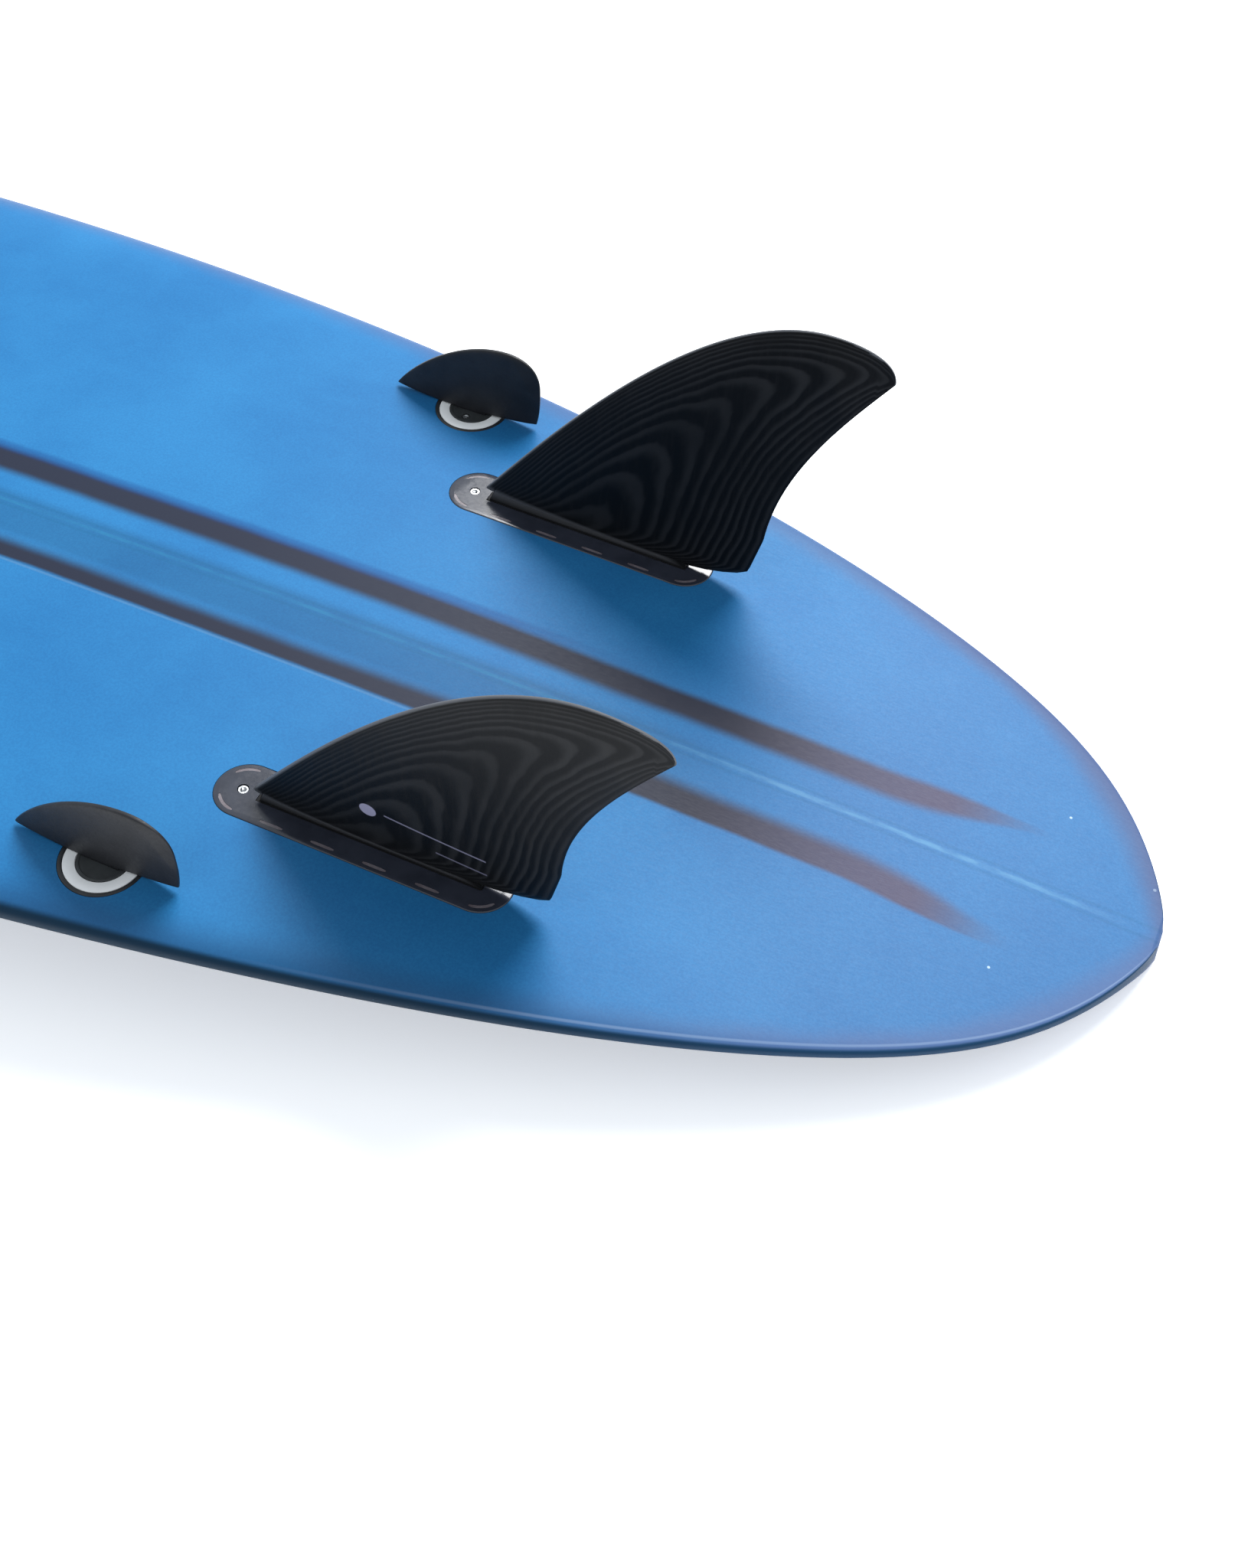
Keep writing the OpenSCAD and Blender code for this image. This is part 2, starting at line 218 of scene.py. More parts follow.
def deck_point(s, v, d):
    """Point at share v (-1 to 1) across the deck."""
    angle = abs(v) * math.pi / 2
    u = (1 - math.cos(angle) ** dome_power) ** (1 / rim_power)
    y = math.copysign(u * (half_width(s) - d), v)
    rise = (thickness(s) - rail_drop(s) - d) * (1 - math.cos(angle))
    return (board_l / 2 - s, y, deck_z(s) + d + rise)


# ---------------------------------------------------------------- meshes


def grid_faces(rows, columns, wrap, first=0):
    """Quads between rows of points; wrap joins the last column to the first."""
    faces = []
    for i in range(rows - 1):
        for j in range(columns if wrap else columns - 1):
            k = (j + 1) % columns
            a, b = first + i * columns, first + (i + 1) * columns
            faces.append((a + j, a + k, b + k, b + j))
    return faces


def stack(rings, looped=False):
    """A closed solid through rings of points: capped at both ends, or looped back to its start."""
    columns = len(rings[0])
    points = [p for ring in rings for p in ring]
    if looped:
        rows = rings + [rings[0]]
        faces = [[k % len(points) for k in f] for f in grid_faces(len(rows), columns, True)]
        return points, faces
    faces = grid_faces(len(rings), columns, True)
    last = (len(rings) - 1) * columns
    faces.append(tuple(range(columns))[::-1])
    faces.append(tuple(last + j for j in range(columns)))
    return points, faces


def circle(radius, z, count=64, centre=(0, 0)):
    turns = [2 * math.pi * k / count for k in range(count)]
    return [(centre[0] + radius * math.cos(a), centre[1] + radius * math.sin(a), z) for a in turns]


def stadium(length, width, z, inset=0, arc=24):
    """A level ring: two straight sides with a half circle at each end."""
    reach, radius = (length - width) / 2, width / 2 - inset
    points = []
    for end, start in ((reach, -math.pi / 2), (-reach, math.pi / 2)):
        for k in range(arc + 1):
            a = start + math.pi * k / arc
            points.append((end + radius * math.cos(a), radius * math.sin(a), z))
    return points


def round_box(x0, x1, width, z, radius, arc=5):
    """A level ring: a rectangle from x0 to x1 with rounded corners."""
    corners = ((x1, width / 2, 0), (x0, width / 2, 1), (x0, -width / 2, 2), (x1, -width / 2, 3))
    points = []
    for x, y, quarter in corners:
        cx = x - math.copysign(radius, x - (x0 + x1) / 2)
        cy = y - math.copysign(radius, y)
        for k in range(arc + 1):
            a = (quarter + k / arc) * math.pi / 2
            points.append((cx + radius * math.cos(a), cy + radius * math.sin(a), z))
    return points


def raw_object(name, points, faces):
    mesh = bpy.data.meshes.new(name)
    mesh.from_pydata([Vector(p) * MM for p in points], [], [list(f) for f in faces])
    work = bmesh.new()
    work.from_mesh(mesh)
    bmesh.ops.remove_doubles(work, verts=work.verts, dist=1e-7)
    bmesh.ops.recalc_face_normals(work, faces=work.faces)
    if work.calc_volume(signed=True) < 0:
        bmesh.ops.reverse_faces(work, faces=work.faces)
    work.to_mesh(mesh)
    work.free()
    made = bpy.data.objects.new(name, mesh)
    bpy.context.scene.collection.objects.link(made)
    return made


def combine(target, tools, operation="DIFFERENCE"):
    """Cuts the tools out of the target, or joins them to it; the tools are used up."""
    for tool in tools:
        step = target.modifiers.new("combine", "BOOLEAN")
        step.operation = operation
        step.solver = "EXACT"
        step.object = tool
    bpy.context.view_layer.update()
    graph = bpy.context.evaluated_depsgraph_get()
    mesh = bpy.data.meshes.new_from_object(target.evaluated_get(graph))
    target.modifiers.clear()
    target.data = mesh
    for tool in tools:
        bpy.data.objects.remove(tool)
    return target


def finish_piece(made, material, body, place=None, nodes=(), crisp=35):
    """Shades the mesh smooth with crisp edges, places it, and ties it to the frame.

    The points' own coordinates stay on the mesh as "local", for the material.
    """
    mesh = made.data
    local = mesh.attributes.new("local", "FLOAT_VECTOR", "POINT")
    for point, value in zip(mesh.vertices, local.data):
        value.vector = point.co
    mesh.materials.clear()
    mesh.materials.append(material)
    mesh.shade_smooth()
    mesh.set_sharp_from_angle(angle=math.radians(crisp))
    if place is not None:
        mesh.transform(place)
    bpy.context.view_layer.update()
    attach(made, body)
    if nodes:
        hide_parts(*nodes)
    return made


# ---------------------------------------------------------------- places on the board


def shift(x, y, z):
    return Matrix.Translation(Vector((x, y, z)) * MM)


def at_bottom(s, y):
    tilt = Matrix.Rotation(pitch(bottom_z, s), 4, "Y")
    return shift(board_l / 2 - s, y, bottom_z(s)) @ tilt


def at_box(side):
    toe = Matrix.Rotation(math.radians(-side * box_toe), 4, "Z")
    return at_bottom(box_from_tail, side * box_y) @ toe


def at_fin(side):
    return at_box(side) @ Matrix.Rotation(math.radians(-side * box_cant), 4, "X")


def at_plug(side):
    return at_bottom(plug_from_tail, side * plug_y)


def at_leash():
    s = leash_from_tail
    rise = 1 - (1 - leash_share ** rim_power) ** (1 / dome_power)
    mouth = deck_z(s) + (thickness(s) - rail_drop(s)) * rise
    tilt = Matrix.Rotation(pitch(deck_z, s), 4, "Y")
    return shift(board_l / 2 - s, -leash_y, mouth) @ tilt


# ---------------------------------------------------------------- materials


class Finish:
    """One material: its Principled shader and the nodes that feed it."""

    def __init__(self, name, **constants):
        self.material = bpy.data.materials.new(name)
        self.material.use_nodes = True
        self.tree = self.material.node_tree
        self.shader = self.tree.nodes["Principled BSDF"]
        for socket, value in constants.items():
            self.shader.inputs[socket.replace("_", " ")].default_value = value

    def feed(self, socket, value):
        if isinstance(value, bpy.types.NodeSocket):
            self.tree.links.new(value, socket)
        else:
            socket.default_value = value

    def node(self, kind, settings, inputs):
        made = self.tree.nodes.new("ShaderNode" + kind)
        for key, value in settings.items():
            setattr(made, key, value)
        for socket, value in inputs.items():
            self.feed(made.inputs[socket], value)
        return made

    def maths(self, operation, *values):
        return self.node("Math", {"operation": operation}, dict(enumerate(values))).outputs[0]

    def times(self, a, b):
        return self.maths("MULTIPLY", a, b)

    def plus(self, a, b):
        return self.maths("ADD", a, b)

    def minus(self, a, b):
        return self.maths("SUBTRACT", a, b)

    def local(self):
        """The piece's own coordinates, in metres."""
        return self.node("Attribute", {"attribute_name": "local"}, {}).outputs["Vector"]

    def inside(self):
        """The same for a piece that comes from the frame."""
        return self.node("TexCoord", {}, {}).outputs["Object"]

    def apart(self, vector):
        """The three axes of a vector."""
        return self.node("SeparateXYZ", {}, {0: vector}).outputs

    def stretched(self, vector, x, y, z):
        return self.node("VectorMath", {"operation": "MULTIPLY"}, {0: vector, 1: (x, y, z)}).outputs[0]

    def noise(self, vector, scale, detail=3, roughness=0.55, distortion=0.0):
        inputs = {
            "Vector": vector, "Scale": scale, "Detail": detail,
            "Roughness": roughness, "Distortion": distortion,
        }
        return self.node("TexNoise", {}, inputs).outputs["Fac"]

    def step(self, value, start, end, low=0.0, high=1.0):
        """Eases from low to high as the value goes from start to end."""
        inputs = {"Value": value, "From Min": start, "From Max": end, "To Min": low, "To Max": high}
        return self.node("MapRange", {"interpolation_type": "SMOOTHSTEP"}, inputs).outputs[0]

    def band(self, value, middle, half, soft):
        """1 within half of the middle, easing to 0 over the soft width beyond."""
        off = self.maths("ABSOLUTE", self.minus(value, middle))
        return self.step(off, half, self.plus(half, soft), 1.0, 0.0)

    def attribute(self, name):
        return self.node("Attribute", {"attribute_name": name}, {}).outputs["Fac"]

    def mix(self, share, a, b, blend="MIX"):
        made = self.node("Mix", {"data_type": "RGBA", "blend_type": blend}, {0: share, 6: a, 7: b})
        return made.outputs[2]

    def colour(self, value):
        self.feed(self.shader.inputs["Base Color"], value)

    def rough(self, value):
        self.feed(self.shader.inputs["Roughness"], value)

    def bump(self, height, strength, distance):
        inputs = {"Height": height, "Strength": strength, "Distance": distance}
        bumped = self.node("Bump", {}, inputs).outputs[0]
        self.feed(self.shader.inputs["Normal"], bumped)


def rgb(red, green, blue):
    return (red, green, blue, 1.0)


# Colours of the skins and the fins, as linear light
blue_deep, blue_light = rgb(0.0135, 0.137, 0.337), rgb(0.0200, 0.171, 0.388)
# The deck's navy is partly its own tint, partly painted shade for the near rail side that faces away
# from the light
deck_tint_and_shade_deep, deck_tint_and_shade_light = rgb(0.0015, 0.028, 0.085), rgb(0.003, 0.041, 0.115)
# Painted sheen: a paler blue for the soft reflection over the tail
tail_sheen_pale = rgb(0.089, 0.148, 0.300)
# Near rail: a darker copy of the rail haze, as painted shade away from the tail
rail_near_shaded, rail_near_tail = rgb(0.016, 0.063, 0.156), rgb(0.070, 0.108, 0.235)
rail_far, rail_far_tail = rgb(0.074, 0.096, 0.193), rgb(0.068, 0.078, 0.165)
# Painted highlight along the near rail's hard edge
edge_highlight_pale = rgb(0.22, 0.31, 0.46)
# Painted shade for the near rail's underside, which faces away from the light
rail_shade_dark, rail_shade_dark_tail = rgb(0.0015, 0.020, 0.045), rgb(0.006, 0.040, 0.095)
stripe_smoke, stripe_rust = rgb(0.014, 0.012, 0.020), rgb(0.074, 0.040, 0.054)
stripe_glow = rgb(0.052, 0.052, 0.12)
between_blue = rgb(0.0, 0.012, 0.035)
overspray_blue = rgb(0.0015, 0.037, 0.163)
stripe_edge_highlight_pale = rgb(0.16, 0.24, 0.31)
pinhole_pale = rgb(0.75, 0.88, 0.95)
stringer_pale, stringer_teal = rgb(0.075, 0.220, 0.395), rgb(0.020, 0.185, 0.320)
glue_dark = rgb(0.0, 0.075, 0.15)
worn_pale = rgb(0.22, 0.36, 0.49)
glass_black, glass_grey = rgb(0.0040, 0.0043, 0.0050), rgb(0.0190, 0.0192, 0.0205)
fibre_grey = rgb(0.018, 0.018, 0.020)
rim_grey = rgb(0.126, 0.130, 0.141)
base_highlight_grey = rgb(0.111, 0.111, 0.117)
print_violet = rgb(0.27, 0.26, 0.36)


def board_skin(name, lower):
    """Tinted resin over glass cloth, sanded to satin: airbrushed rails and stripes, stringer line,
    painted sheen over the tail and painted shade and highlight along the near rail.
    """
    finish = Finish(name, IOR=1.5, Specular_IOR_Level=0.09 if lower else 0.15)
    whole = finish.local()
    axes = finish.apart(whole)
    s = finish.maths("MULTIPLY_ADD", axes[0], -1 / MM, board_l / 2)
    y = finish.times(axes[1], 1 / MM)
    grain = finish.noise(whole, 900, 2, 0.7)
    colour = tinted_resin_and_sheen(finish, whole, s, grain, lower)
    colour = airbrushed_rails_and_painted_light(finish, whole, s, y, colour)
    if not lower:
        colour = stripes(finish, whole, s, y, colour)
        colour = small_marks(finish, s, y, colour)
    colour = stringer_line(finish, whole, s, y, colour)
    sand(finish, whole, grain, colour)
    return finish.material


def tinted_resin_and_sheen(finish, whole, s, grain, lower):
    """Blue tint, mottled by the cloth's uptake and by sanding, with a painted sheen that makes it paler
    over the tail.
    """
    deep, light = (deck_tint_and_shade_deep, deck_tint_and_shade_light) if lower else (blue_deep, blue_light)
    cloud = finish.noise(whole, 9, 4, 0.6)
    blotch = finish.noise(finish.stretched(whole, 0.45, 1, 1), 60, 4, 0.65)
    blue = finish.mix(finish.step(cloud, 0.3, 0.7), deep, light)
    blue = finish.mix(finish.step(blotch, 0.35, 0.75, 0.0, 0.3), blue, light)
    if not lower:
        # Painted sheen: paler towards the tail, standing in for the soft reflection there
        blue = finish.mix(finish.step(s, 240.0, 120.0, 0.0, 0.22), blue, tail_sheen_pale)
    return finish.mix(finish.step(grain, 0.3, 0.7, 0.0, 0.16), blue, deep, "MULTIPLY")


def airbrushed_rails_and_painted_light(finish, whole, s, y, colour):
    """Purple-grey airbrushed haze along the rails, darker on the near rail as painted shade; the near
    rail also has a painted highlight along its edge and painted shade underneath.
    """
    edge = finish.attribute("rail_gap")
    at_tail = finish.step(s, 260.0, 90.0)
    # Painted shade: the near rail's haze is darker than the far rail's
    near_tint_shaded = finish.mix(at_tail, rail_near_shaded, rail_near_tail)
    far_tint = finish.mix(at_tail, rail_far, rail_far_tail)
    tint = finish.mix(finish.step(y, -25.0, 25.0), near_tint_shaded, far_tint)
    haze = finish.maths("MULTIPLY_ADD", finish.noise(whole, 35, 2), 5.0, -2.5)
    spread = finish.plus(finish.step(s, 260.0, 90.0, 20.0, 15.0), finish.step(s, 90.0, 10.0, 0.0, 16.0))
    share = finish.step(finish.plus(edge, haze), 1.0, spread, 1.0, 0.0)
    share = finish.times(share, finish.step(s, 260.0, 90.0, 0.62, 0.75))
    colour = finish.mix(share, colour, tint)

    # Painted highlight: a pale line along the near rail's hard edge, towards the tail
    edge_highlight = finish.times(finish.band(edge, 3.4, 0.2, 0.8), finish.step(s, 200.0, 340.0, 0.4, 0.0))
    edge_highlight = finish.times(edge_highlight, finish.step(y, 4.0, -30.0))
    colour = finish.mix(edge_highlight, colour, edge_highlight_pale)

    # Painted shade: the near rail's underside darkens to deep blue
    shade_to = finish.step(s, 160.0, 560.0, 2.2, 6.0)
    rail_shade = finish.step(edge, finish.times(shade_to, 0.35), shade_to, 1.0, 0.0)
    rail_shade = finish.times(rail_shade, finish.step(y, 60.0, 0.0))
    return finish.mix(rail_shade, colour, finish.mix(at_tail, rail_shade_dark, rail_shade_dark_tail))


# For each stripe: its side, its middle, its middle at the point, where it narrows from and to and
# how far, where its inner and outer edge ease in and out, and how far each moves out up the board
stripe_shapes = (
    (1.0, 23.6, 28.4, (45.0, 115.0, 0.15), (-11.2, -4.4), (3.6, 8.6), (1.6, 2.6)),
    (-1.0, 27.2, 33.5, (35.0, 110.0, 0.30), (-13.0, -4.0), (4.6, 7.4), (4.2, 0.2)),
)


def stripes(finish, whole, s, y, colour):
    """Two airbrushed stripes beside the stringer that taper to points near the tail."""
    wander = finish.maths("MULTIPLY_ADD", finish.noise(whole, 28, 3), 1.6, -0.8)
    across = finish.plus(y, wander)
    density = finish.step(s, 50.0, 100.0, 0.0, 0.78)
    density = finish.plus(density, finish.step(s, 110.0, 200.0, 0.0, 0.17))
    pigment = finish.mix(finish.step(s, 90.0, 210.0), stripe_rust, stripe_smoke)
    glow = finish.times(density, finish.step(s, 340.0, 200.0, 0.03, 0.13))
    # The blue is deeper beside the stringer
    between = finish.times(finish.band(y, -7.0, 9.0, 7.0), finish.step(s, 150.0, 270.0, 0.0, 0.30))
    colour = finish.mix(between, colour, between_blue)
    for side, middle, point, narrows, inner, outer, drift in stripe_shapes:
        taper = finish.step(s, narrows[0], narrows[1], narrows[2], 1.0)
        centre = finish.step(s, 55.0, 130.0, point, middle)
        even = finish.maths("DIVIDE", finish.minus(finish.times(across, side), centre), taper)
        veil = finish.times(finish.band(even, -1.0, 5.0, 6.0), glow)
        colour = finish.mix(veil, colour, stripe_glow)
        from_inner = finish.minus(even, finish.step(s, 230.0, 400.0, 0.0, drift[0]))
        from_outer = finish.minus(even, finish.step(s, 230.0, 400.0, 0.0, drift[1]))
        inside = finish.step(from_inner, inner[0], inner[1])
        outside = finish.step(from_outer, outer[0], outer[1], 1.0, 0.0)
        body = finish.times(finish.times(inside, outside), density)
        colour = finish.mix(body, colour, pigment)
    # Overspray: deep blue beyond the far stripe; beyond the near one, a painted highlight along its
    # sharp edge
    midway = finish.step(s, 230.0, 330.0)
    fringe = finish.times(finish.band(across, 33.2, 1.0, 3.6), finish.times(midway, 0.5))
    colour = finish.mix(fringe, colour, overspray_blue)
    # Painted highlight: a thin pale line along the near stripe's sharp outer edge
    stripe_edge_highlight = finish.times(finish.band(y, -34.6, 0.25, 0.7), finish.times(midway, 0.2))
    return finish.mix(stripe_edge_highlight, colour, stripe_edge_highlight_pale)


# Distance from the tail, distance across, size and strength of two pinholes and a chip
marks = ((58.6, -46.9, 0.6, 0.5), (49.4, 42.1, 0.6, 0.5), (8.0, 22.0, 0.7, 0.2))


def small_marks(finish, s, y, colour):
    """Two pinholes and a chip in the tail's resin."""
    for along, aside, size, share in marks:
        ds = finish.minus(s, along)
        dy = finish.minus(y, aside)
        square = finish.plus(finish.times(ds, ds), finish.times(dy, dy))
        spot = finish.step(square, size * size * 0.4, size * size * 1.6, share, 0.0)
        colour = finish.mix(spot, colour, pinhole_pale)
    return colour


def stringer_line(finish, whole, s, y, colour):
    """The stringer shows through as a faint pale line with a fine glue line on each side."""
    wood = finish.band(y, 0.0, 0.5, finish.step(s, 150.0, 300.0, 1.4, 0.9))
    wood = finish.times(wood, finish.step(s, 8.0, 40.0))
    streak = finish.noise(finish.stretched(whole, 1.0, 5, 5), 60, 3)
    clear = finish.step(streak, 0.35, 0.65, 0.25, 0.95)
    clear = finish.times(clear, finish.step(s, 120.0, 260.0, 1.0, 0.35))
    pale = finish.mix(finish.step(s, 150.0, 300.0), stringer_pale, stringer_teal)
    colour = finish.mix(finish.times(wood, clear), colour, pale)
    glue = finish.band(finish.maths("ABSOLUTE", y), 3.0, 0.3, 0.9)
    return finish.mix(finish.times(glue, 0.15), colour, glue_dark)


def sand(finish, whole, grain, colour):
    """Satin from fine scratches along the board, with rubbed-through pin dots."""
    scratch = finish.noise(finish.stretched(whole, 1.0, 22, 22), 90, 3, 0.7)
    wear = finish.noise(whole, 420, 2, 0.6)
    finish.colour(finish.mix(finish.step(wear, 0.76, 0.82, 0.0, 0.12), colour, worn_pale))
    finish.rough(finish.step(scratch, 0.25, 0.75, 0.42, 0.52))
    weave = finish.plus(finish.times(grain, 0.6), finish.times(scratch, 0.4))
    finish.bump(weave, 0.05, 0.0004)


def fin_glass():
    """Black glass layers sanded to a foil: each layer shows as a contour line of the thickness. The
    leading edge, the tip and the base's rounded edge get painted highlights.
    """
    finish = Finish("black_layered_glass", IOR=1.5, Specular_IOR_Level=0.11)
    whole = finish.local()
    wobble = finish.noise(finish.stretched(whole, 1.0, 1.0, 0.55), 30, 3, 0.55)
    depth = finish.maths("MULTIPLY_ADD", wobble, 0.11, finish.attribute("layer"))
    phase = finish.times(depth, 2 * math.pi * layer_count)
    line = finish.maths("SINE", phase)
    fine = finish.maths("SINE", finish.times(phase, 2.0))
    both = finish.plus(line, finish.times(fine, 0.25))
    patch = finish.noise(whole, 22, 3)
    shown = finish.times(finish.step(both, -0.6, 1.1), finish.step(patch, 0.3, 0.7, 0.45, 1.0))
    grey = finish.mix(shown, glass_black, glass_grey)
    fibre = finish.noise(finish.stretched(whole, 1.0, 1.0, 0.12), 420, 3, 0.7)
    grey = finish.mix(finish.step(fibre, 0.45, 0.8, 0.0, 0.25), grey, fibre_grey)
    # Painted highlight along the leading edge and over the tip
    grey = finish.mix(finish.times(finish.attribute("rim"), 0.8), grey, rim_grey)
    # Painted highlight along the blade's rounded lower edge
    grey = finish.mix(finish.times(finish.attribute("base_highlight"), 0.8), grey, base_highlight_grey)
    printed = finish.times(fin_mark(finish, whole), finish.attribute("outer_face"))
    finish.colour(finish.mix(printed, grey, print_violet))
    finish.rough(finish.step(fibre, 0.2, 0.8, 0.40, 0.52))
    finish.bump(finish.plus(finish.times(shown, 0.6), fibre), 0.12, 0.0003)
    return finish.material


def fin_mark(finish, whole):
    """A plain printed dot with two plain bars beside it."""
    axes = finish.apart(whole)
    x = finish.times(axes[0], 1 / MM)
    z = finish.times(axes[2], 1 / MM)
    dx = finish.minus(x, 8.3)
    dz = finish.minus(z, 28.9)
    square = finish.plus(finish.maths("POWER", dx, 2.0), finish.maths("POWER", dz, 2.0))
    mark = finish.step(finish.maths("SQRT", square), 3.5, 4.0, 1.0, 0.0)
    slope = finish.maths("MULTIPLY_ADD", x, 0.137, z)
    for middle, half_long, height, strength in ((38.0, 22.0, 31.4, 0.6), (49.0, 11.0, 21.6, 0.45)):
        along = finish.band(x, middle, half_long, 0.5)
        over = finish.band(slope, height, 0.3, 0.4)
        bar = finish.times(finish.times(along, over), strength)
        mark = finish.maths("MAXIMUM", mark, bar)
    return mark


def moulded(name, base, lift, scale, rough, bump, **constants):
    """Moulded plastic: faint clouding, a fine moulded grain and a few scuffs."""
    finish = Finish(name, **constants)
    whole = finish.local()
    cloud = finish.noise(whole, scale * 0.12, 3)
    grain = finish.noise(whole, scale, 3, 0.65)
    scuff = finish.noise(finish.stretched(whole, 1, 9, 2), scale * 0.25, 4, 0.7)
    colour = finish.mix(finish.step(cloud, 0.3, 0.7), rgb(*base), rgb(*lift))
    pale = [min(1.0, c * 1.5 + 0.01) for c in lift]
    finish.colour(finish.mix(finish.step(scuff, 0.62, 0.75, 0.0, 0.35), colour, rgb(*pale)))
    finish.rough(finish.step(grain, 0.25, 0.75, rough[0], rough[1]))
    finish.bump(grain, bump, 0.0002)
    return finish.material


def metal(name, base, lift, rough):
    """Machined steel: turning marks round the axis and small stains."""
    finish = Finish(name, Metallic=1.0)
    whole = finish.local()
    stain = finish.noise(whole, 600, 4, 0.6)
    turning = finish.noise(finish.stretched(whole, 1, 1, 14), 900, 2, 0.6)
    finish.colour(finish.mix(finish.step(stain, 0.3, 0.7), rgb(*base), rgb(*lift)))
    finish.rough(finish.step(turning, 0.3, 0.7, rough[0], rough[1]))
    finish.bump(turning, 0.08, 0.0001)
    return finish.material


def foam_material():
    """Shaped foam: fine open cells and a slight yellowing."""
    finish = Finish("shaped_foam", Roughness=0.9)
    whole = finish.inside()
    cell = finish.node("TexVoronoi", {}, {"Vector": whole, "Scale": 1400.0}).outputs["Distance"]
    patch = finish.noise(whole, 14, 3)
    colour = finish.mix(finish.step(patch, 0.3, 0.7), rgb(0.80, 0.79, 0.72), rgb(0.88, 0.87, 0.82))
    finish.colour(finish.mix(finish.step(cell, 0.2, 0.7, 0.0, 0.3), colour, rgb(0.62, 0.61, 0.55)))
    finish.bump(cell, 0.3, 0.0003)
    return finish.material


def wood_material():
    """Ply with its grain along the board and dark pores."""
    finish = Finish("stringer_ply")
    whole = finish.inside()
    long_grain = finish.noise(finish.stretched(whole, 0.6, 16, 16), 60, 4, 0.6, 0.6)
    pore = finish.noise(finish.stretched(whole, 1, 30, 30), 200, 2)
    colour = finish.mix(finish.step(long_grain, 0.3, 0.7), rgb(0.52, 0.36, 0.19), rgb(0.70, 0.54, 0.34))
    finish.colour(finish.mix(finish.step(pore, 0.6, 0.75, 0.0, 0.5), colour, rgb(0.30, 0.19, 0.09)))
    finish.rough(finish.step(long_grain, 0.2, 0.8, 0.5, 0.7))
    finish.bump(long_grain, 0.2, 0.0003)
    return finish.material


# ---------------------------------------------------------------- skins


def skin(name, surface, count):
    """A closed thin shell: an outer and an inner surface, joined along the rails and at the tips."""
    stations = 150
    outer_s = [tip_round * (1 - math.cos(math.pi / 2 * k / 4)) for k in range(4)]
    middle = [tip_round + (board_l - 2 * tip_round) * (1 - math.cos(math.pi * k / stations)) / 2
              for k in range(stations + 1)]
    outer_s = outer_s + middle + [board_l - s for s in reversed(outer_s)]
    shares = [2 * k / count - 1 for k in range(count + 1)]
    outer = [[surface(s, v, tip_inset(s)) for v in shares] for s in outer_s]
    inner_s = [skin_t + (board_l - 2 * skin_t) * s / board_l for s in outer_s]
    inner = [[surface(s, v, skin_t) for v in shares] for s in inner_s]
    columns, rows = count + 1, len(outer_s)
    points = [p for row in outer + inner for p in row]
    below = rows * columns
    faces = grid_faces(rows, columns, False) + grid_faces(rows, columns, False, below)
    for i in range(rows - 1):
        for j in (0, columns - 1):
            a, b = i * columns + j, (i + 1) * columns + j
            faces.append((a, b, below + b, below + a))
    for row in (0, rows - 1):
        start = row * columns
        end = start + columns - 1
        faces.append(tuple(range(start, end + 1)))
        faces.append(tuple(range(below + start, below + end + 1)))
        faces.append((start, end, below + end, below + start))
    return raw_object(name, points, faces)


def note_rail_gap(made):
    """Stores each point's distance in from the board's widest line, in millimetres."""
    gap = made.data.attributes.new("rail_gap", "FLOAT", "POINT")
    for point, value in zip(made.data.vertices, gap.data):
        s = board_l / 2 - point.co.x / MM
        value.value = half_width(min(board_l, max(0, s))) - abs(point.co.y) / MM


def pocket(name, rings, place):
    """A cutting tool, put in its place."""
    tool = raw_object(name, *stack(rings))
    tool.matrix_world = place
    return tool


def make_skins():
    bottom = skin("bottom_skin", bottom_point, 72)
    tools = []
    for side in SIDES.values():
        flange = [stadium(box_l, box_w, z, -fit_gap) for z in (-6, 4)]
        rim = [circle(plug_r + fit_gap, z) for z in (-6, 4)]
        tools.append(pocket("flange_pocket", flange, at_box(side)))
        tools.append(pocket("plug_pocket", rim, at_plug(side)))
    combine(bottom, tools)
    note_rail_gap(bottom)
    finish_piece(bottom, board_skin("blue_bottom_skin", False), "board",
                 nodes=["bottom_laminate"])

    deck = skin("deck_skin", deck_point, 64)
    mouth = [circle(leash_r + leash_wall + leash_lip + fit_gap, z) for z in (-4, 6)]
    combine(deck, [pocket("leash_pocket", mouth, at_leash())])
    note_rail_gap(deck)
    finish_piece(deck, board_skin("blue_deck_skin", True), "board",
                 nodes=["deck_laminate"])


# ---------------------------------------------------------------- fin boxes


def racetrack(offset, position):
    """Point and direction at a distance along the line that runs inside a flange's edge."""
    reach = (box_l - box_w) / 2
    radius = box_w / 2 - offset
    straight, bend = 2 * reach, math.pi * radius
    position = position % (2 * (straight + bend))
    flip = 1
    if position >= straight + bend:
        position -= straight + bend
        flip = -1
    if position < straight:
        point, heading = (-reach + position, -radius), 0.0
    else:
        heading = (position - straight) / radius
        point = (reach + radius * math.sin(heading), -radius * math.cos(heading))
    if flip < 0:
        point, heading = (-point[0], -point[1]), heading + math.pi
    return point, heading


def track_slot(middle, length, half, z):
    """A level ring: a slot with round ends that follows the racetrack."""
    outer, inner, steps = [], [], 6
    for k in range(steps + 1):
        (x, y), heading = racetrack(resin_inset, middle + length * (k / steps - 0.5))
        side = Vector((math.sin(heading), -math.cos(heading)))
        narrow = half * (0.55 if k in (0, steps) else 1)
        outer.append((x + side.x * narrow, y + side.y * narrow, z))
        inner.append((x - side.x * narrow, y - side.y * narrow, z))
    return outer + inner[::-1]


